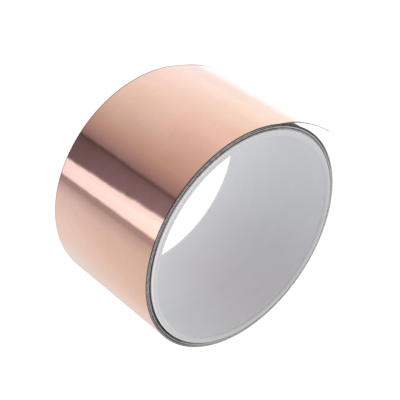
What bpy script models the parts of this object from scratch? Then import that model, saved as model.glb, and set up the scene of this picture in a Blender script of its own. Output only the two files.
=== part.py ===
"""Roll of copper foil tape: a core tube, and one strip of three layers (copper foil, adhesive and
release liner) wound on it as a spiral. The strip's free end lifts off the roll as a short tail.

Metres, +Z up. The roll's axis is Y, the origin is on that axis at mid-width, and the tail leaves
near the top towards +X. Angles round the roll are measured from the top (+Z) towards +X.
The tail is a chain of short pieces that turn about lines parallel to the axis, and at its tip the
foil and its adhesive are a flap that peels off the liner.
"""

from math import cos, pi, radians, sin

import bmesh
import bpy
from mathutils import Matrix, Vector

# Core tube: a 3 in bore, cut to the width of the tape, standing a little proud at the near end
CORE_BORE_RADIUS = 0.0381
CORE_OUTER_RADIUS = 0.0406
CORE_LENGTH = 0.0508
CORE_PROUD = 0.0007
CORE_CHAMFER = 0.0003
CORE_SIDES = 56

# Tape: a 2 in wide strip, its layers listed from the core outwards
TAPE_WIDTH = 0.0508
LINER_THICKNESS = 0.000080
ADHESIVE_THICKNESS = 0.000035
FOIL_THICKNESS = 0.000040
LAYER_GAP = 0.000005
STRIP_THICKNESS = LINER_THICKNESS + ADHESIVE_THICKNESS + FOIL_THICKNESS + 2 * LAYER_GAP
PITCH = STRIP_THICKNESS + LAYER_GAP

# Winding: whole turns of a many-sided spiral, with a flat side straight down to stand on
TURNS = 11
SIDES = 28
SIDE_ANGLE = 2 * pi / SIDES
FIRST_TURN_RADIUS = CORE_OUTER_RADIUS + 0.00005
PEEL_ANGLE = 1.5 * SIDE_ANGLE

# Tail: from the peel line its inner face runs along an arc flatter than the roll
TAIL_KINK = radians(5.0)
TAIL_RADIUS = 0.057
TAIL_PIECES = [0.0046, 0.0046, 0.0046, 0.0046, 0.0090]
STUCK_LENGTH = 0.0020
FLAP_PIECES = 2
STEPS_PER_PIECE = 2
HINGE_GAP = 0.0002

TAPE_NEAR_Y = -(TAPE_WIDTH - CORE_PROUD) / 2
CORE_NEAR_Y = TAPE_NEAR_Y - CORE_PROUD

# The layers as (name, inner height, outer height) above the strip's inner face
LAYERS = [
    ("liner", 0.0, LINER_THICKNESS),
    ("adhesive", LINER_THICKNESS + LAYER_GAP, LINER_THICKNESS + LAYER_GAP + ADHESIVE_THICKNESS),
    ("foil", STRIP_THICKNESS - FOIL_THICKNESS, STRIP_THICKNESS),
]

FINISHES = {
    "core": ((0.74, 0.75, 0.77), 0.0, 0.35),
    "liner": ((0.80, 0.78, 0.73), 0.0, 0.60),
    "adhesive": ((0.30, 0.29, 0.28), 0.0, 0.45),
    "foil": ((0.88, 0.58, 0.44), 1.0, 0.25),
}


def clear_scene():
    for obj in list(bpy.data.objects):
        bpy.data.objects.remove(obj, do_unlink=True)


def make_materials():
    """One Principled material for each finish."""
    materials = {}
    for name, (colour, metallic, roughness) in FINISHES.items():
        material = bpy.data.materials.new(name)
        material.use_nodes = True
        shader = material.node_tree.nodes["Principled BSDF"]
        shader.inputs["Base Color"].default_value = (*colour, 1.0)
        shader.inputs["Metallic"].default_value = metallic
        shader.inputs["Roughness"].default_value = roughness
        materials[name] = material
    return materials


def world_place(pivot):
    """A pivot's place in the world. Pivots are moved but never turned."""
    place = pivot.location.copy()
    while pivot.parent:
        pivot = pivot.parent
        place += pivot.location
    return place


def add_pivot(name, place, parent=None):
    """An empty on a hinge line, carried by the hinge before it."""
    pivot = bpy.data.objects.new(name, None)
    bpy.context.collection.objects.link(pivot)
    pivot.location = place
    if parent:
        pivot.parent = parent
        pivot.location = place - world_place(parent)
    return pivot


def add_object(name, bm, material, pivot=None):
    """Puts a mesh drawn in world coordinates into the scene, on its pivot if it has one."""
    bmesh.ops.recalc_face_normals(bm, faces=bm.faces)
    mesh = bpy.data.meshes.new(name)
    bm.to_mesh(mesh)
    bm.free()
    mesh.materials.append(material)
    obj = bpy.data.objects.new(name, mesh)
    bpy.context.collection.objects.link(obj)
    if pivot:
        obj.parent = pivot
        obj.matrix_parent_inverse = Matrix.Translation(-world_place(pivot))
    return obj


def on_circle(radius, angle):
    """The (x, z) of a point at an angle from the top towards +X."""
    return radius * sin(angle), radius * cos(angle)


def strip_solid(name, inner, outer, material, pivot=None):
    """A strip as wide as the tape between two rows of (x, z) points, inner and outer."""
    bm = bmesh.new()
    rows = [[bm.verts.new((x, TAPE_NEAR_Y, z)) for x, z in row] for row in (inner, outer)]
    for i in range(len(inner) - 1):
        bm.faces.new((rows[0][i], rows[0][i + 1], rows[1][i + 1], rows[1][i]))
    grown = bmesh.ops.extrude_face_region(bm, geom=list(bm.faces))
    far_verts = [item for item in grown["geom"] if isinstance(item, bmesh.types.BMVert)]
    bmesh.ops.translate(bm, verts=far_verts, vec=(0.0, TAPE_WIDTH, 0.0))
    return add_object(name, bm, material, pivot)


def make_core(material):
    """The tube, turned from its wall's section, with a small chamfer on all four rims."""
    outer = CORE_OUTER_RADIUS
    bore = CORE_BORE_RADIUS / cos(pi / CORE_SIDES)
    near, far, cut = CORE_NEAR_Y, CORE_NEAR_Y + CORE_LENGTH, CORE_CHAMFER
    section = [
        (bore, near + cut),
        (bore + cut, near),
        (outer - cut, near),
        (outer, near + cut),
        (outer, far - cut),
        (outer - cut, far),
        (bore + cut, far),
        (bore, far - cut),
    ]
    bm = bmesh.new()
    corners = [bm.verts.new((radius, y, 0.0)) for radius, y in section]
    edges = [bm.edges.new((corners[i - 1], corners[i])) for i in range(len(corners))]
    bmesh.ops.spin(
        bm,
        geom=corners + edges,
        cent=(0.0, 0.0, 0.0),
        axis=(0.0, 1.0, 0.0),
        angle=2 * pi,
        steps=CORE_SIDES,
        use_merge=True,
    )
    core = add_object("core_tube", bm, material)
    core.data.shade_smooth()
    core.data.set_sharp_from_angle(angle=radians(30.0))
    return core


def spiral_row(height):
    """Corners of the wound strip's surface at a height above its inner face, from the core to the
    peel line. Each corner stands out so that the flat sides touch the true spiral."""
    stations = TURNS * SIDES
    points = []
    for k in range(stations + 1):
        radius = FIRST_TURN_RADIUS + PITCH * k / SIDES + height
        angle = PEEL_ANGLE + (k - stations) * SIDE_ANGLE
        points.append(on_circle(radius / cos(SIDE_ANGLE / 2), angle))
    (x0, z0), (x1, z1) = points[-2:]
    side = ((x1 - x0) ** 2 + (z1 - z0) ** 2) ** 0.5
    short = 1 - HINGE_GAP / 2 / side
    points[-1] = (x0 + (x1 - x0) * short, z0 + (z1 - z0) * short)
    return points


def make_wound_strip(materials):
    for layer, low, high in LAYERS:
        strip_solid(f"{layer}_wound", spiral_row(low), spiral_row(high), materials[layer])


def peel_point():
    """Where the strip's inner face leaves the roll."""
    last_radius = FIRST_TURN_RADIUS + PITCH * TURNS
    return on_circle(last_radius / cos(SIDE_ANGLE / 2), PEEL_ANGLE)


def tail_point(along, height):
    """The (x, z) at a distance along the tail and a height above its inner face."""
    start_x, start_z = peel_point()
    first_slope = PEEL_ANGLE - TAIL_KINK
    centre_x = start_x - TAIL_RADIUS * sin(first_slope)
    centre_z = start_z - TAIL_RADIUS * cos(first_slope)
    x, z = on_circle(TAIL_RADIUS + height, first_slope + along / TAIL_RADIUS)
    return centre_x + x, centre_z + z


def tail_row(start, end, height):
    steps = [start + (end - start) * i / STEPS_PER_PIECE for i in range(STEPS_PER_PIECE + 1)]
    return [tail_point(along, height) for along in steps]


def tail_pivot(name, along, height, parent):
    x, z = tail_point(along, height)
    return add_pivot(name, Vector((x, 0.0, z)), parent)


def tail_solids(label, layers, start, end, pivot, materials):
    """One solid for each layer of the tail from start to end, half a hinge gap short at both."""
    first, last = start + HINGE_GAP / 2, end - HINGE_GAP / 2
    for layer, low, high in layers:
        inner = tail_row(first, last, low)
        outer = tail_row(first, last, high)
        strip_solid(f"{layer}_{label}", inner, outer, materials[layer], pivot)


def make_tail(materials):
    """The chain of tail pieces. On the last one the foil and adhesive soon give way to the flap."""
    start = 0.0
    pivot = None
    for number, length in enumerate(TAIL_PIECES, 1):
        end = start + length
        stuck_end = end if number < len(TAIL_PIECES) else start + STUCK_LENGTH
        pivot = tail_pivot(f"tail_pivot_{number}", start, STRIP_THICKNESS / 2, pivot)
        tail_solids(f"tail_{number}", LAYERS[:1], start, end, pivot, materials)
        tail_solids(f"tail_{number}", LAYERS[1:], start, stuck_end, pivot, materials)
        start = end
    make_flap(stuck_end, end, pivot, materials)


def make_flap(start, end, pivot, materials):
    """The foil and adhesive that peel off the last tail piece, divided so that they curl."""
    length = (end - start) / FLAP_PIECES
    hinge_height = (LAYERS[1][1] + LAYERS[2][2]) / 2
    for number in range(1, FLAP_PIECES + 1):
        pivot = tail_pivot(f"flap_pivot_{number}", start, hinge_height, pivot)
        tail_solids(f"flap_{number}", LAYERS[1:], start, start + length, pivot, materials)
        start += length


def main():
    clear_scene()
    materials = make_materials()
    make_core(materials["core"])
    make_wound_strip(materials)
    make_tail(materials)


main()
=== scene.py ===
"""The finished look of a roll of copper foil tape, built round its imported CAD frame.

Metres, +Z up, in the frame's own axes: the roll's axis is Y, and the strip's free end leaves near
the top towards +X. Angles round the roll are measured from the top (+Z) towards +X.
"""

from math import ceil, cos, pi, radians, sin

import bmesh
import bpy
import numpy as np
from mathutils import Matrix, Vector


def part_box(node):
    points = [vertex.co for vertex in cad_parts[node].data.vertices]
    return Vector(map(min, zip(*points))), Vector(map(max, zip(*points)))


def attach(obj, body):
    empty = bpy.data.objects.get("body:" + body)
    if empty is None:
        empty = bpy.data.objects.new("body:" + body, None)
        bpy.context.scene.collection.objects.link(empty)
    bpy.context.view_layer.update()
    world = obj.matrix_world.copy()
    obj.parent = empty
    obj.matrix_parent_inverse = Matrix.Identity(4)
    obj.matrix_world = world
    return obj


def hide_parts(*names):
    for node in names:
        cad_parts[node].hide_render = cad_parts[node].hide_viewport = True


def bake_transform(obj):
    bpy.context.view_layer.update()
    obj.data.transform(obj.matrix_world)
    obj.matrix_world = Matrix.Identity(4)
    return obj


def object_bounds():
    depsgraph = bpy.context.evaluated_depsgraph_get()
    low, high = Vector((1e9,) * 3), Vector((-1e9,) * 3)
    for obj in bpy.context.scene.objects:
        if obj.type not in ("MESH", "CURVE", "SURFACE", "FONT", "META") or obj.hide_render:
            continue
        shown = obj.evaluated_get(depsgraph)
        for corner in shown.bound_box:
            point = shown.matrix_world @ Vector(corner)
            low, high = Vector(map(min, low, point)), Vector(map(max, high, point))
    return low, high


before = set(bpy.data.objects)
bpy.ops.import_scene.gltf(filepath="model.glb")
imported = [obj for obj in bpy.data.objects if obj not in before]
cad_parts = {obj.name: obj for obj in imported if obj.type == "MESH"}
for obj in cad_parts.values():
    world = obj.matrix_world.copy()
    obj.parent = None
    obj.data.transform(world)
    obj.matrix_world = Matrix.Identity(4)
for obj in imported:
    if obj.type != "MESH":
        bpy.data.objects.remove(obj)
CAD_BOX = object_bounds()

# ---------------------------------------------------------------- sizes, as in the frame

CORE_BORE_RADIUS = 0.0381
CORE_OUTER_RADIUS = 0.0406
CORE_NEAR_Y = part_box("core_tube")[0].y
CORE_FAR_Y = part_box("core_tube")[1].y
CORE_STEPS = 256
CORNER_STEPS = 5
RIM_OUTER_ROUND = 0.0005
RIM_INNER_ROUND = 0.0012
FAR_RIM_ROUND = 0.0021

TAPE_NEAR_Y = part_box("foil_wound")[0].y
TAPE_FAR_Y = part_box("foil_wound")[1].y
LINER = 0.000080
ADHESIVE = 0.000035
FOIL = 0.000040
LAYER_GAP = 0.000005
STRIP = LINER + ADHESIVE + FOIL + 2 * LAYER_GAP
PITCH = STRIP + LAYER_GAP
TURNS = 11
FIRST_TURN_RADIUS = 0.04065
LAST_TURN_RADIUS = FIRST_TURN_RADIUS + PITCH * TURNS
WINDING_RADIUS = LAST_TURN_RADIUS + STRIP
CAD_SIDES = 28
PEEL_ANGLE = 1.5 * 2 * pi / CAD_SIDES
WOUND_STEPS = 240
SHARP_ANGLE = radians(35.0)

TAIL_KINK = radians(5.0)
TAIL_RADIUS = 0.057
TAIL_LENGTH = 0.0274
TAIL_STEP = 0.00025

# Each layer's inner and outer height above the strip's inner face, and how far in its edges sit
LAYERS = {
    "liner": (0.0, LINER, 0.00002),
    "adhesive": (LINER + LAYER_GAP, LINER + LAYER_GAP + ADHESIVE, 0.00004),
    "foil": (STRIP - FOIL, STRIP, 0.0),
}

# How unevenly the turns are wound: the edges wander by up to this at each end of the roll
EDGE_WANDER = 0.00026
KNOTS_PER_TURN = 2
NEAR_SEED, FAR_SEED = 3, 8

# The first turns sit deeper on one side of the roll, most at the groove's angle
FIRST_TURNS_RECESS = 0.0024
FIRST_TURNS = 1.7
FIRST_TURNS_RISE = 0.5
GROOVE_ANGLE, GROOVE_SPREAD = radians(238.0), radians(64.0)

# Where the tail bends: the bodies on either side, and where along the tail the bend starts and ends
TAIL_BENDS = [
    ("roll", "tail_1", -0.0010, 0.0026),
    ("tail_1", "tail_2", 0.0032, 0.0060),
    ("tail_2", "tail_3", 0.0078, 0.0106),
    ("tail_3", "tail_4", 0.0124, 0.0152),
    ("tail_4", "tail_5", 0.0172, 0.0193),
    ("tail_5", "flap_1", 0.0195, 0.0213),
    ("flap_1", "flap_2", 0.0228, 0.0250),
]

# Where the tail's layers are divided, one stretch for each bend. The liner has only the first few
LINER_BENDS = 5
SPLITS = [-0.0015, 0.0029, 0.0069, 0.0115, 0.0162, 0.0194, 0.0220, TAIL_LENGTH]


# ---------------------------------------------------------------- colours and textures


def way_at(angle):
    """The direction out from the roll's axis at an angle."""
    return sin(angle), 0.0, cos(angle)


# Colours are linear red, green, blue and alpha
WHITE = (1.0, 1.0, 1.0, 1.0)
COPPER_BRIGHT, COPPER_WARM = (0.975, 0.668, 0.552, 1.0), (0.930, 0.612, 0.484, 1.0)
COPPER_DUST, DUST_SHARE = (0.70, 0.47, 0.40, 1.0), 0.22
COPPER_STREAK, STREAK_SHARE = (0.80, 0.53, 0.43, 1.0), 0.26
ADHESIVE_DARK, ADHESIVE_LIGHT = (0.20, 0.195, 0.19, 1.0), (0.32, 0.31, 0.30, 1.0)
PAPER_DARK, PAPER_LIGHT = (0.60, 0.57, 0.52, 1.0), (0.70, 0.67, 0.62, 1.0)
PAPER_STAIN, STAIN_SHARE = (0.56, 0.52, 0.46, 1.0), 0.35
CORE_DARK, CORE_LIGHT = (0.622, 0.636, 0.655, 1.0), (0.645, 0.658, 0.677, 1.0)
FLOOR_DARK, FLOOR_LIGHT = (0.12, 0.12, 0.12, 1.0), (0.15, 0.15, 0.15, 1.0)

# The core's proud wall beside the tape, painted light; the painted shade on one side of its ends;
# and the painted light on one side of its bore
PROUD_WALL_PAINTED_LIGHT = (0.93, 0.94, 0.95, 1.0)
END_SHADE = (0.84, 0.84, 0.845, 1.0)
BORE_LIT = (1.05, 1.06, 1.06, 1.0)

# The near-black of painted shade: on the core's outer wall under the tape, deep in the groove,
# and in the tail's shade on the wound edges
DEEP_SHADE = (0.010, 0.008, 0.008, 1.0)

# The slit edges of each layer: the dark and the light of their rings, partly painted shade and
# light, and their paler side
SLIT_EDGES = {
    "foil": ((0.035, 0.026, 0.028, 1.0), (0.66, 0.59, 0.57, 1.0), (0.68, 0.68, 0.68, 1.0)),
    "adhesive": ((0.015, 0.012, 0.014, 1.0), (0.36, 0.34, 0.35, 1.0), (0.56, 0.56, 0.57, 1.0)),
    "liner": ((0.040, 0.032, 0.036, 1.0), (0.82, 0.79, 0.80, 1.0), (0.72, 0.72, 0.73, 1.0)),
}

PALE_ANGLE, SHADED_ANGLE = radians(142.0), radians(38.0)

# Sides of the roll: the direction out to the middle of a side, the cosines of the angles from it
# where the side starts and where it is full, and how strong it is there
PALE_SIDE = (way_at(PALE_ANGLE), 0.10, 0.60, 0.90)
# Painted shade on one side of the core's ends, and painted light on one side of its bore
END_SHADE_SIDE = (way_at(PALE_ANGLE), -0.3, 0.9, 1.0)
LIT_SIDE = (way_at(GROOVE_ANGLE), 0.0, 1.0, 1.0)
# Painted near-black shade deep in the groove
GROOVE_SHADE_SIDE = (way_at(GROOVE_ANGLE), 0.30, 0.75, 1.0)
DIM_SIDE = (way_at(GROOVE_ANGLE), 0.88, 0.97, 0.38)
TAIL_SHADE = (way_at(SHADED_ANGLE), 0.80, 0.96, 0.9)

# Where an effect starts and ends: the groove's painted shade, in turns from the core out; the
# shaded edge, in from the winding's outside; the tail, out from it; the painted shade under the
# tape, in from the tape's near edge; and how deep the core's outer wall counts as its outside
GROOVE_SHADE_TURNS = 1.5, 2.5
SHADED_DEPTH = 0.00075, 0.00055
TAIL_BEYOND = 0.0002, 0.0006
UNDER_TAPE = 0.0001, 0.0003
WALL_DEPTH = 0.0004

# A face is a cut edge where more than this much of its normal lies along the roll's axis
EDGE_FACING = 0.5

# The rings on the wound edges, partly painted light and shade: their spacing, and the phase at the
# outermost edge and its drift
RING_SPACING = 0.00070
RING_PHASE = -0.75 * pi
RING_DRIFT = 1.4
RING_DRIFT_SCALE = (60.0, 60.0, 60.0)
RING_MOTTLE = 0.3
RING_MOTTLE_SCALE = (600.0, 600.0, 600.0)
RING_DARK_AT, RING_LIGHT_AT = -0.7, 0.9

# The band of painted shade beside the foil's slit edges, and its wider band on the tail
EDGE_SHADE_WIDTH, COPPER_EDGE_SHADE = 0.00042, (0.17, 0.11, 0.09, 1.0)
TAIL_EDGE_SHADE_WIDTH, COPPER_TAIL_EDGE_SHADE = 0.00090, (0.13, 0.10, 0.086, 1.0)

# The parts of noise's range that the textures use, where each effect starts and is full
MOST_NOISE, MIDDLE_NOISE = (0.3, 0.7), (0.35, 0.65)
DUST_NOISE, STREAK_NOISE, DRIFT_NOISE = (0.45, 0.75), (0.5, 0.8), (0.2, 0.8)

# Noise textures: scale along each axis, detail and roughness
ROLLING_LINES = (60.0, 3600.0, 60.0), 2.0, 0.6
COPPER_GRAIN = (1500.0, 1500.0, 1500.0), 2.0, 0.6
COPPER_WAVES = (260.0, 220.0, 260.0), 0.5, 0.4
COPPER_CLOUD = (70.0, 45.0, 70.0), 2.0, 0.5
ADHESIVE_SPECKS = (1800.0, 1800.0, 1800.0), 2.0, 0.5
PAPER_FIBRE = (2600.0, 700.0, 2600.0), 4.0, 0.65
PAPER_CLOUD = (160.0, 160.0, 160.0), 3.0, 0.5
CORE_GRAIN = (3000.0, 3000.0, 3000.0), 2.0, 0.5
CORE_FLOW = (60.0, 260.0, 60.0), 3.0, 0.6
FLOOR_SPECK = (300.0, 300.0, 300.0), 2.0, 0.5

# Roughness where a texture is low and where it is high
COPPER_ROUGH = 0.03, 0.055
ADHESIVE_ROUGH = 0.25, 0.45
PAPER_ROUGH = 0.42, 0.60
CORE_ROUGH = 0.34, 0.42
CORE_SHINE = 0.4
FLOOR_ROUGH, FLOOR_SHINE = 0.9, 0.1

# Bumps: strength and height
GRAIN_BUMP = 1.0, 0.0000016
WAVES_BUMP = 1.0, 0.000019
SPECKS_BUMP = 0.2, 0.00005
FIBRE_BUMP = 0.25, 0.00004
CORE_BUMP = 0.08, 0.00002


# ---------------------------------------------------------------- materials


def node_material(name):
    """A new material, its node tree and its Principled shader."""
    material = bpy.data.materials.new(name)
    material.use_nodes = True
    tree = material.node_tree
    return material, tree, tree.nodes["Principled BSDF"]


def add_node(tree, kind, inputs=None, **settings):
    """A new node, with its inputs linked to sockets or set to values."""
    node = tree.nodes.new(kind)
    for key, value in settings.items():
        setattr(node, key, value)
    for key, value in (inputs or {}).items():
        if isinstance(value, bpy.types.NodeSocket):
            tree.links.new(value, node.inputs[key])
        else:
            node.inputs[key].default_value = value
    return node


def maths(tree, operation, a, b=0.0):
    return add_node(tree, "ShaderNodeMath", {0: a, 1: b}, operation=operation).outputs[0]


def ranged(tree, value, from_low, from_high, to_low=0.0, to_high=1.0, clamp=True):
    """A value mapped from one range to another."""
    return add_node(
        tree,
        "ShaderNodeMapRange",
        {
            "Value": value,
            "From Min": from_low,
            "From Max": from_high,
            "To Min": to_low,
            "To Max": to_high,
        },
        clamp=clamp,
    ).outputs["Result"]


def mixed(tree, factor, a, b):
    """Two colours mixed by a factor."""
    node = add_node(tree, "ShaderNodeMix", data_type="RGBA")
    for socket, value in zip((node.inputs[0], node.inputs[6], node.inputs[7]), (factor, a, b)):
        if isinstance(value, bpy.types.NodeSocket):
            tree.links.new(value, socket)
        else:
            socket.default_value = value
    return node.outputs[2]


def object_place(tree):
    return add_node(tree, "ShaderNodeTexCoord").outputs["Object"]


def along_axis(tree, vector):
    """A vector's part along the roll's axis."""
    return add_node(tree, "ShaderNodeSeparateXYZ", {"Vector": vector}).outputs["Y"]


def noise(tree, scale, detail=1.0, roughness=0.5):
    """Noise of a scale on each axis, from 0 to 1."""
    place = add_node(
        tree, "ShaderNodeMapping", {"Vector": object_place(tree), "Scale": scale}
    ).outputs["Vector"]
    return add_node(
        tree,
        "ShaderNodeTexNoise",
        {"Vector": place, "Scale": 1.0, "Detail": detail, "Roughness": roughness},
    ).outputs["Fac"]


def roughened(tree, shader, texture, rough):
    """Roughness on the shader that follows a texture."""
    tree.links.new(ranged(tree, texture, *MOST_NOISE, *rough), shader.inputs["Roughness"])


def bumped(tree, shader, height, bump, normal=None):
    """Bumps of a strength and height on the shader, over any bumps there already."""
    strength, distance = bump
    inputs = {"Height": height, "Strength": strength, "Distance": distance}
    if normal:
        inputs["Normal"] = normal
    bumps = add_node(tree, "ShaderNodeBump", inputs).outputs["Normal"]
    tree.links.new(bumps, shader.inputs["Normal"])
    return bumps


def cut_edge(tree):
    """1 on the strip's slit edges and the core's ends, whose normals lie along the roll's axis."""
    normal = add_node(tree, "ShaderNodeNewGeometry").outputs["Normal"]
    size = maths(tree, "ABSOLUTE", along_axis(tree, normal))
    return maths(tree, "GREATER_THAN", size, EDGE_FACING)


def roll_places(tree):
    """The distance from the roll's axis and the direction out from it."""
    parts = add_node(tree, "ShaderNodeSeparateXYZ", {"Vector": object_place(tree)})
    flat = add_node(
        tree, "ShaderNodeCombineXYZ", {"X": parts.outputs["X"], "Z": parts.outputs["Z"]}
    ).outputs["Vector"]
    radius = add_node(tree, "ShaderNodeVectorMath", {0: flat}, operation="LENGTH").outputs["Value"]
    way = add_node(tree, "ShaderNodeVectorMath", {0: flat}, operation="NORMALIZE").outputs["Vector"]
    return radius, way


def on_side(tree, way, side):
    """How strongly a side of the roll shows in a direction out from the axis."""
    middle, start, full, strength = side
    near = add_node(tree, "ShaderNodeVectorMath", {0: way, 1: middle}, operation="DOT_PRODUCT")
    return ranged(tree, near.outputs["Value"], start, full, 0.0, strength)


def on_tail(tree, radius):
    """1 where the strip has left the winding."""
    start, full = TAIL_BEYOND
    return ranged(tree, radius, WINDING_RADIUS + start, WINDING_RADIUS + full)


def ring_lines(tree, radius):
    """Thin rings on the wound edges, partly the layers' own tones and partly painted light and
    shade of turns that stand proud or sit deep. They drift as they go round, except the outermost.
    """
    spaced = WINDING_RADIUS, WINDING_RADIUS - RING_SPACING
    phase = ranged(tree, radius, *spaced, RING_PHASE, RING_PHASE + 2 * pi, clamp=False)
    wander = noise(tree, RING_DRIFT_SCALE)
    wander = ranged(tree, wander, *DRIFT_NOISE, -RING_DRIFT, RING_DRIFT)
    drift = maths(tree, "MULTIPLY", wander, ranged(tree, radius, *spaced))
    wave = maths(tree, "SINE", maths(tree, "ADD", phase, drift))
    mottle = noise(tree, RING_MOTTLE_SCALE)
    mottle = ranged(tree, mottle, *MOST_NOISE, -RING_MOTTLE, RING_MOTTLE)
    return ranged(tree, maths(tree, "ADD", wave, mottle), RING_DARK_AT, RING_LIGHT_AT)


def edge_colour(tree, layer):
    """A layer's slit edge: ringed on the winding with painted light and shade, paler on one side of
    it, painted near black deep in the groove and in the tail's shade, and dark on the tail."""
    dark, light, pale = SLIT_EDGES[layer]
    radius, way = roll_places(tree)
    ringed = mixed(tree, ring_lines(tree, radius), dark, light)
    faded = mixed(tree, on_side(tree, way, PALE_SIDE), ringed, pale)
    dimmed = mixed(tree, on_side(tree, way, DIM_SIDE), faded, dark)
    groove_shade_radii = (FIRST_TURN_RADIUS + turns * PITCH for turns in GROOVE_SHADE_TURNS)
    inmost = ranged(tree, radius, *groove_shade_radii, 1.0, 0.0)
    groove = maths(tree, "MULTIPLY", on_side(tree, way, GROOVE_SHADE_SIDE), inmost)
    # Painted near-black shade on the inmost turns' edges, deep in the groove
    deep_shaded = mixed(tree, groove, dimmed, DEEP_SHADE)
    outmost = ranged(tree, radius, *(WINDING_RADIUS - depth for depth in SHADED_DEPTH))
    shade = maths(tree, "MULTIPLY", on_side(tree, way, TAIL_SHADE), outmost)
    shaded = mixed(tree, shade, deep_shaded, DEEP_SHADE)
    return mixed(tree, on_tail(tree, radius), shaded, dark)


def edge_shaded_copper(tree, copper):
    """Copper with bands of painted shade beside the slit edges, which are wider on the tail."""
    radius, _ = roll_places(tree)
    tail = on_tail(tree, radius)
    middle, half = (TAPE_NEAR_Y + TAPE_FAR_Y) / 2, (TAPE_FAR_Y - TAPE_NEAR_Y) / 2
    along = along_axis(tree, object_place(tree))
    off = maths(tree, "ABSOLUTE", maths(tree, "SUBTRACT", along, middle))
    start = ranged(tree, tail, 0.0, 1.0, half - EDGE_SHADE_WIDTH, half - TAIL_EDGE_SHADE_WIDTH)
    end = ranged(tree, tail, 0.0, 1.0, half - EDGE_SHADE_WIDTH / 2, half - TAIL_EDGE_SHADE_WIDTH / 2)
    edge_shade_colour = mixed(tree, tail, COPPER_EDGE_SHADE, COPPER_TAIL_EDGE_SHADE)
    return mixed(tree, ranged(tree, off, start, end), copper, edge_shade_colour)


def copper_material(name):
    """Bright rolled copper: fine rolling lines round the roll, soft mottling and grain, and painted
    shade at and beside its slit edges."""
    material, tree, shader = node_material(name)
    lines = noise(tree, *ROLLING_LINES)
    grain = noise(tree, *COPPER_GRAIN)
    waves = noise(tree, *COPPER_WAVES)
    cloud = noise(tree, *COPPER_CLOUD)
    tone = mixed(tree, ranged(tree, cloud, *MOST_NOISE), COPPER_BRIGHT, COPPER_WARM)
    dusty = mixed(tree, ranged(tree, grain, *DUST_NOISE, 0.0, DUST_SHARE), tone, COPPER_DUST)
    streaks = ranged(tree, lines, *STREAK_NOISE, 0.0, STREAK_SHARE)
    # The slit edges' bands of painted shade
    edge_shaded = edge_shaded_copper(tree, mixed(tree, streaks, dusty, COPPER_STREAK))
    colour = mixed(tree, cut_edge(tree), edge_shaded, edge_colour(tree, "foil"))
    tree.links.new(colour, shader.inputs["Base Color"])
    shader.inputs["Metallic"].default_value = 1.0
    roughened(tree, shader, waves, COPPER_ROUGH)
    fine = bumped(tree, shader, grain, GRAIN_BUMP)
    bumped(tree, shader, waves, WAVES_BUMP, fine)
    return material


def adhesive_material(name):
    """A thin grey acrylic film with darker specks, dull at its slit edges with painted light and
    shade.
    """
    material, tree, shader = node_material(name)
    specks = noise(tree, *ADHESIVE_SPECKS)
    tone = mixed(tree, ranged(tree, specks, *MIDDLE_NOISE), ADHESIVE_DARK, ADHESIVE_LIGHT)
    colour = mixed(tree, cut_edge(tree), tone, edge_colour(tree, "adhesive"))
    tree.links.new(colour, shader.inputs["Base Color"])
    roughened(tree, shader, specks, ADHESIVE_ROUGH)
    bumped(tree, shader, specks, SPECKS_BUMP)
    return material


def liner_material(name):
    """Grey-beige release paper with a faint fibre grain, darker at its slit edges with painted
    light and shade.
    """
    material, tree, shader = node_material(name)
    fibre = noise(tree, *PAPER_FIBRE)
    cloud = noise(tree, *PAPER_CLOUD)
    paper = mixed(tree, ranged(tree, fibre, *MOST_NOISE), PAPER_DARK, PAPER_LIGHT)
    stain = ranged(tree, cloud, *MIDDLE_NOISE, 0.0, STAIN_SHARE)
    tone = mixed(tree, stain, paper, PAPER_STAIN)
    colour = mixed(tree, cut_edge(tree), tone, edge_colour(tree, "liner"))
    tree.links.new(colour, shader.inputs["Base Color"])
    roughened(tree, shader, fibre, PAPER_ROUGH)
    bumped(tree, shader, fibre, FIBRE_BUMP)
    return material


def core_material(name):
    """Smooth light grey moulded plastic: a soft sheen, a fine grain and faint flow bands. Its outer
    wall has painted near-black shade and no shine under the tape, and painted light where it stands
    proud; its ends have painted shade on one side and its bore painted light on another."""
    material, tree, shader = node_material(name)
    grain = noise(tree, *CORE_GRAIN)
    flow = noise(tree, *CORE_FLOW)
    tone = mixed(tree, ranged(tree, flow, *MOST_NOISE), CORE_DARK, CORE_LIGHT)
    radius, way = roll_places(tree)
    # Painted shade on one side of the ends, and painted light on one side of the bore
    ends = mixed(tree, on_side(tree, way, END_SHADE_SIDE), WHITE, END_SHADE)
    bore = mixed(tree, on_side(tree, way, LIT_SIDE), WHITE, BORE_LIT)
    shade = mixed(tree, cut_edge(tree), bore, ends)
    toned = add_node(
        tree, "ShaderNodeVectorMath", {0: tone, 1: shade}, operation="MULTIPLY"
    ).outputs["Vector"]
    along = along_axis(tree, object_place(tree))
    under = ranged(tree, along, *(TAPE_NEAR_Y + depth for depth in UNDER_TAPE))
    outside = ranged(tree, radius, CORE_OUTER_RADIUS - WALL_DEPTH, CORE_OUTER_RADIUS)
    # The outer wall: painted near-black shade under the tape, painted light where it stands proud
    wall = mixed(tree, under, PROUD_WALL_PAINTED_LIGHT, DEEP_SHADE)
    tree.links.new(mixed(tree, outside, toned, wall), shader.inputs["Base Color"])
    roughened(tree, shader, flow, CORE_ROUGH)
    # Under the tape the core's outer wall takes painted shade and no shine
    deep_shaded = maths(tree, "MULTIPLY", outside, under)
    shine = ranged(tree, deep_shaded, 0.0, 1.0, CORE_SHINE, 0.0)
    tree.links.new(shine, shader.inputs["Specular IOR Level"])
    bumped(tree, shader, grain, CORE_BUMP)
    return material


MATERIALS = {
    "core": core_material("core_plastic"),
    "liner": liner_material("release_paper"),
    "adhesive": adhesive_material("acrylic_adhesive"),
    "foil": copper_material("rolled_copper"),
}


# ---------------------------------------------------------------- shapes


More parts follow.
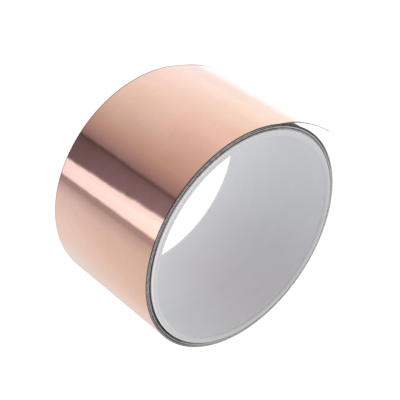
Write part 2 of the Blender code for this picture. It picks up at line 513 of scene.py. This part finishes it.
def finished(name, bm, slot):
    """The mesh as a smooth-shaded object with its slot's material."""
    bmesh.ops.recalc_face_normals(bm, faces=bm.faces)
    mesh = bpy.data.meshes.new(name)
    bm.to_mesh(mesh)
    bm.free()
    mesh.materials.append(MATERIALS[slot])
    mesh.shade_smooth()
    mesh.set_sharp_from_angle(angle=SHARP_ANGLE)
    obj = bpy.data.objects.new(name, mesh)
    bpy.context.collection.objects.link(obj)
    return obj


def rounded_corner(radius, y, radius_way, y_way, size):
    """Points of a quarter-round on a corner of the core's section. The ways point into the wall."""
    centre_radius = radius + radius_way * size
    centre_y = y + y_way * size
    points = []
    for i in range(CORNER_STEPS + 1):
        turn = pi / 2 * i / CORNER_STEPS
        points.append(
            (centre_radius - radius_way * size * cos(turn), centre_y - y_way * size * sin(turn))
        )
    return points


def make_core():
    """The tube, turned from a section whose four corners are rounded."""
    bore, outer = CORE_BORE_RADIUS, CORE_OUTER_RADIUS
    section = rounded_corner(bore, CORE_NEAR_Y, 1, 1, RIM_INNER_ROUND)
    section += rounded_corner(outer, CORE_NEAR_Y, -1, 1, RIM_OUTER_ROUND)[::-1]
    section += rounded_corner(outer, CORE_FAR_Y, -1, -1, RIM_OUTER_ROUND)
    section += rounded_corner(bore, CORE_FAR_Y, 1, -1, FAR_RIM_ROUND)[::-1]
    bm = bmesh.new()
    corners = [bm.verts.new((radius, y, 0.0)) for radius, y in section]
    edges = [bm.edges.new((corners[i - 1], corners[i])) for i in range(len(corners))]
    bmesh.ops.spin(
        bm,
        geom=corners + edges,
        cent=(0.0, 0.0, 0.0),
        axis=(0.0, 1.0, 0.0),
        angle=2 * pi,
        steps=CORE_STEPS,
        use_merge=True,
    )
    core = finished("core_shell", bm, "core")
    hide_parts("core_tube")
    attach(core, "roll")


def spiral_point(turns_left, height):
    """(x, z) on the winding, a number of turns before the peel line."""
    radius = LAST_TURN_RADIUS - PITCH * turns_left + height
    angle = PEEL_ANGLE - 2 * pi * turns_left
    return radius * sin(angle), radius * cos(angle)


def tail_point(along, height):
    """(x, z) at a distance along the tail; before the peel line it is on the winding."""
    if along < 0.0:
        return spiral_point(-along / (2 * pi * LAST_TURN_RADIUS), height)
    start_x, start_z = spiral_point(0.0, 0.0)
    first_slope = PEEL_ANGLE - TAIL_KINK
    centre_x = start_x - TAIL_RADIUS * sin(first_slope)
    centre_z = start_z - TAIL_RADIUS * cos(first_slope)
    angle = first_slope + along / TAIL_RADIUS
    radius = TAIL_RADIUS + height
    return centre_x + radius * sin(angle), centre_z + radius * cos(angle)


def band_mesh(inner, outer, near, far):
    """A closed band from rows of (x, z) points and, for each point, the y of its two side edges."""
    bm = bmesh.new()
    rings = []
    for (xi, zi), (xo, zo), y_near, y_far in zip(inner, outer, near, far):
        corners = ((xi, y_near, zi), (xo, y_near, zo), (xo, y_far, zo), (xi, y_far, zi))
        rings.append([bm.verts.new(corner) for corner in corners])
    for before, after in zip(rings, rings[1:]):
        for i in range(4):
            j = (i + 1) % 4
            bm.faces.new((before[i], before[j], after[j], after[i]))
    bm.faces.new(rings[0][::-1])
    bm.faces.new(rings[-1])
    return bm


def edge_inset(seed, turns_left):
    """How far in a side edge of the winding sits, at numbers of turns before the peel line. It
    wanders from turn to turn, is flush at the peel line, and is deeper in the groove."""
    knots = np.random.default_rng(seed).uniform(0.0, 1.0, KNOTS_PER_TURN * (TURNS + 1))
    knots[0] = 0.0
    turns_left = np.asarray(turns_left)
    place = KNOTS_PER_TURN * turns_left
    low = np.floor(place).astype(int)
    share = place - low
    share = share * share * (3 - 2 * share)
    wander = EDGE_WANDER * (knots[low] * (1 - share) + knots[low + 1] * share)
    depth = np.clip((turns_left - (TURNS - FIRST_TURNS)) / FIRST_TURNS_RISE, 0.0, 1.0)
    off = np.mod(PEEL_ANGLE - 2 * pi * turns_left - GROOVE_ANGLE + pi, 2 * pi) - pi
    depth = depth * (0.5 + 0.5 * np.cos(pi * np.clip(off / GROOVE_SPREAD, -1.0, 1.0)))
    return wander + FIRST_TURNS_RECESS * depth


def make_winding(layer):
    """A wound layer, from the core to just before the peel line."""
    low, high, recess = LAYERS[layer]
    gap = -SPLITS[0] / (2 * pi * LAST_TURN_RADIUS)
    turns_left = np.linspace(TURNS, gap, TURNS * WOUND_STEPS + 1)
    near = TAPE_NEAR_Y + recess + edge_inset(NEAR_SEED, turns_left)
    far = TAPE_FAR_Y - recess - edge_inset(FAR_SEED, turns_left)
    inner = [spiral_point(t, low) for t in turns_left]
    outer = [spiral_point(t, high) for t in turns_left]
    obj = finished(f"{layer}_winding", band_mesh(inner, outer, near, far), layer)
    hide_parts(f"{layer}_wound")
    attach(obj, "roll")


def make_strip(layer, index, end):
    """One stretch of the tail's layer, fixed in place of the CAD part of the bend's second body,
    which it hides.
    """
    body_a, body_b, bend_start, bend_end = TAIL_BENDS[index]
    start = SPLITS[index]
    low, high, recess = LAYERS[layer]
    steps = max(2, ceil((end - start) / TAIL_STEP))
    places = [start + (end - start) * i / steps for i in range(steps + 1)]
    inner = [tail_point(s, low) for s in places]
    outer = [tail_point(s, high) for s in places]
    near = [TAPE_NEAR_Y + recess] * len(places)
    far = [TAPE_FAR_Y - recess] * len(places)
    obj = finished(f"{layer}_strip_{index + 1}", band_mesh(inner, outer, near, far), layer)
    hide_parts(f"{layer}_{body_b}")
    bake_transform(obj)


def make_tape():
    """The three wound layers, and the tail's stretches. The liner's last one isn't divided."""
    for layer in LAYERS:
        make_winding(layer)
    for index in range(len(TAIL_BENDS)):
        make_strip("foil", index, SPLITS[index + 1])
        make_strip("adhesive", index, SPLITS[index + 1])
    for index in range(LINER_BENDS):
        last = index == LINER_BENDS - 1
        make_strip("liner", index, TAIL_LENGTH if last else SPLITS[index + 1])


# ---------------------------------------------------------------- studio

FLOOR_SIZE = 2.4
FLOOR_DROP = 0.00005
FLOOR_GLOW = 0.95

# The studio's light round the roll's axis: degrees from straight up towards -X, and its colour
# at the studio's front and at its back
STUDIO_RING = [
    (-180, (0.85, 0.80, 0.78), (0.86, 0.98, 1.02)),
    (-161, (0.81, 0.78, 0.78), (0.83, 0.78, 0.75)),
    (-150, (0.68, 0.62, 0.60), (0.72, 0.66, 0.66)),
    (-130, (1.25, 1.46, 1.62), (1.15, 1.32, 1.52)),
    (-112, (1.25, 1.48, 1.66), (1.12, 1.32, 1.52)),
    (-98, (1.12, 1.30, 1.42), (1.06, 1.24, 1.40)),
    (-90, (1.02, 1.13, 1.17), (1.00, 1.11, 1.22)),
    (-75, (1.06, 1.10, 1.07), (1.04, 1.15, 1.27)),
    (-62, (0.96, 1.00, 0.97), (1.07, 1.10, 1.15)),
    (-49, (0.95, 0.93, 0.89), (0.98, 1.03, 1.11)),
    (-36, (0.88, 0.78, 0.72), (0.96, 1.02, 1.06)),
    (-20, (0.85, 0.72, 0.69), (0.86, 0.88, 0.85)),
    (-4, (0.71, 0.60, 0.57), (0.79, 0.76, 0.76)),
    (15, (0.62, 0.50, 0.46), (0.62, 0.57, 0.54)),
    (28, (0.53, 0.43, 0.41), (0.52, 0.43, 0.41)),
    (38, (0.40, 0.31, 0.31), (0.40, 0.32, 0.33)),
    (45.8, (0.31, 0.24, 0.25), (0.27, 0.21, 0.23)),
    (47.2, (0.165, 0.12, 0.13), (0.10, 0.075, 0.085)),
    (49.0, (0.18, 0.135, 0.155), (0.10, 0.078, 0.092)),
    (50.5, (0.23, 0.18, 0.21), (0.13, 0.102, 0.12)),
    (54, (0.27, 0.215, 0.26), (0.155, 0.12, 0.145)),
    (65.8, (0.31, 0.26, 0.32), (0.19, 0.155, 0.205)),
    (67.0, (0.98, 1.02, 1.09), (1.03, 1.04, 1.16)),
    (75, (1.22, 1.36, 1.44), (1.05, 1.10, 1.27)),
    (86, (1.12, 1.22, 1.27), (1.04, 1.08, 1.22)),
    (88.1, (1.02, 1.08, 1.08), (1.00, 1.05, 1.16)),
    (89.1, (0.46, 0.41, 0.43), (0.38, 0.34, 0.38)),
    (95, (0.43, 0.39, 0.40), (0.39, 0.35, 0.40)),
    (99, (0.56, 0.53, 0.52), (0.54, 0.50, 0.56)),
    (112, (0.69, 0.64, 0.60), (0.76, 0.76, 0.83)),
    (143, (0.74, 0.69, 0.65), (0.89, 0.92, 0.96)),
    (180, (0.85, 0.80, 0.78), (0.86, 0.98, 1.02)),
]
FRONT_COLUMN, BACK_COLUMN = 1, 2

# How far along the roll's axis a direction points at the studio's front and at its back
FRONT_AT, BACK_AT = 0.60, 0.70

# The bright strip's upper and lower edges lean by up to this much towards the back. The lean grows,
# eases from the upper edge's to the lower edge's, and ends, between these angles of the ring
UPPER_LEAN, LOWER_LEAN = radians(9.2), radians(3.3)
LEAN_GROWS = radians(50), radians(72)
LEAN_EASES = radians(76), radians(92)
LEAN_ENDS = radians(94), radians(120)

# Small soft lights that only matt surfaces take: one past the far end of the bore, and one narrow
# in the plane of the core's proud wall
BORE_LIGHT_PLACE, BORE_LIGHT_TARGET = (0.0, 0.055, 0.0), (0.0, 0.0, 0.0)
BORE_LIGHT_SIZE, BORE_LIGHT_POWER = (0.03, 0.03), 0.011
RIM_LIGHT_PLACE, RIM_LIGHT_TARGET = (-0.18, -0.0255, 0.18), (0.0, -0.0255, 0.0)
RIM_LIGHT_SIZE, RIM_LIGHT_POWER = (0.001, 0.10), 0.12

CAMERA_PLACE = (-0.2043, -0.2400, 0.2333)
CAMERA_DIRECTION = (0.5251, 0.6127, -0.5908)
CAMERA_LENS = 100.1
CAMERA_SENSOR = 36.0
CAMERA_CLIP_START = 0.01


def floor_material():
    """Pale matt floor, lit from within so that the roll's shadow on it stays faint."""
    material, tree, shader = node_material("pale_floor")
    speck = noise(tree, *FLOOR_SPECK)
    tone = mixed(tree, ranged(tree, speck, *MOST_NOISE), FLOOR_DARK, FLOOR_LIGHT)
    tree.links.new(tone, shader.inputs["Base Color"])
    shader.inputs["Roughness"].default_value = FLOOR_ROUGH
    shader.inputs["Specular IOR Level"].default_value = FLOOR_SHINE
    shader.inputs["Emission Color"].default_value = WHITE
    shader.inputs["Emission Strength"].default_value = FLOOR_GLOW
    return material


def make_floor():
    """The floor. The copper's view of it comes from the studio's ring instead."""
    bm = bmesh.new()
    z = CAD_BOX[0][2] - FLOOR_DROP
    size = FLOOR_SIZE
    corners = ((-size, -size, z), (size, -size, z), (size, size, z), (-size, size, z))
    bm.faces.new([bm.verts.new(corner) for corner in corners])
    mesh = bpy.data.meshes.new("floor")
    bm.to_mesh(mesh)
    bm.free()
    mesh.materials.append(floor_material())
    floor = bpy.data.objects.new("floor", mesh)
    floor.visible_glossy = False
    bpy.context.collection.objects.link(floor)


def leaning(tree, turn):
    """How far the studio's edges at an angle round the axis lean at the back."""
    grown = ranged(tree, turn, *LEAN_GROWS, 0.0, UPPER_LEAN)
    eased = ranged(tree, turn, *LEAN_EASES, 0.0, UPPER_LEAN - LOWER_LEAN)
    ended = ranged(tree, turn, *LEAN_ENDS, 0.0, LOWER_LEAN)
    return maths(tree, "SUBTRACT", maths(tree, "SUBTRACT", grown, eased), ended)


def ring_ramp(tree, place, column):
    """The ring's colours from one of its two columns, for places from 0 to 1 round it."""
    ramp = add_node(tree, "ShaderNodeValToRGB", {"Fac": place})
    elements = ramp.color_ramp.elements
    while len(elements) > 1:
        elements.remove(elements[-1])
    for i, stop in enumerate(STUDIO_RING):
        at = (stop[0] + 180.0) / 360.0
        element = elements[0] if i == 0 else elements.new(at)
        element.position = at
        element.color = (*stop[column], 1.0)
    return ramp.outputs["Color"]


def studio_ring(tree, direction):
    """The studio's colour for a direction, by its angle about the roll's axis and along it."""
    parts = add_node(tree, "ShaderNodeSeparateXYZ", {"Vector": direction})
    back = ranged(tree, parts.outputs["Y"], FRONT_AT, BACK_AT)
    left = maths(tree, "MULTIPLY", parts.outputs["X"], -1.0)
    turn = maths(tree, "ARCTAN2", left, parts.outputs["Z"])
    lean = maths(tree, "MULTIPLY", leaning(tree, turn), back)
    place = ranged(tree, maths(tree, "SUBTRACT", turn, lean), -pi, pi)
    front_ring = ring_ramp(tree, place, FRONT_COLUMN)
    return mixed(tree, back, front_ring, ring_ramp(tree, place, BACK_COLUMN))


def make_world():
    """A soft white studio with a dark card and a bright strip to the left of the roll. The camera
    sees only its white backdrop."""
    world = bpy.data.worlds.new("studio")
    bpy.context.scene.world = world
    world.use_nodes = True
    tree = world.node_tree
    tree.nodes.clear()
    direction = add_node(tree, "ShaderNodeTexCoord").outputs["Generated"]
    ring = studio_ring(tree, direction)
    seen = add_node(tree, "ShaderNodeLightPath").outputs["Is Camera Ray"]
    colour = mixed(tree, seen, ring, WHITE)
    background = add_node(tree, "ShaderNodeBackground", {"Color": colour, "Strength": 1.0})
    output = add_node(tree, "ShaderNodeOutputWorld")
    tree.links.new(background.outputs[0], output.inputs["Surface"])


def add_soft_light(name, place, target, size, power):
    """A rectangular light of a width and height that reflections and the camera don't show."""
    data = bpy.data.lights.new(name, "AREA")
    data.shape = "RECTANGLE"
    data.size, data.size_y = size
    data.energy = power
    light = bpy.data.objects.new(name, data)
    light.location = place
    aim = Vector(target) - Vector(place)
    light.rotation_euler = aim.to_track_quat("-Z", "Y").to_euler()
    light.visible_glossy = False
    light.visible_camera = False
    bpy.context.collection.objects.link(light)


def make_lights():
    add_soft_light(
        "bore_soft", BORE_LIGHT_PLACE, BORE_LIGHT_TARGET, BORE_LIGHT_SIZE, BORE_LIGHT_POWER
    )
    add_soft_light("rim_soft", RIM_LIGHT_PLACE, RIM_LIGHT_TARGET, RIM_LIGHT_SIZE, RIM_LIGHT_POWER)


def make_camera():
    data = bpy.data.cameras.new("camera")
    data.lens = CAMERA_LENS
    data.sensor_width = CAMERA_SENSOR
    data.clip_start = CAMERA_CLIP_START
    camera = bpy.data.objects.new("camera", data)
    camera.location = CAMERA_PLACE
    camera.rotation_euler = Vector(CAMERA_DIRECTION).to_track_quat("-Z", "Y").to_euler()
    bpy.context.collection.objects.link(camera)
    bpy.context.scene.camera = camera


make_core()
make_tape()
make_floor()
make_world()
make_lights()
make_camera()
bpy.context.scene.view_settings.view_transform = "Standard"
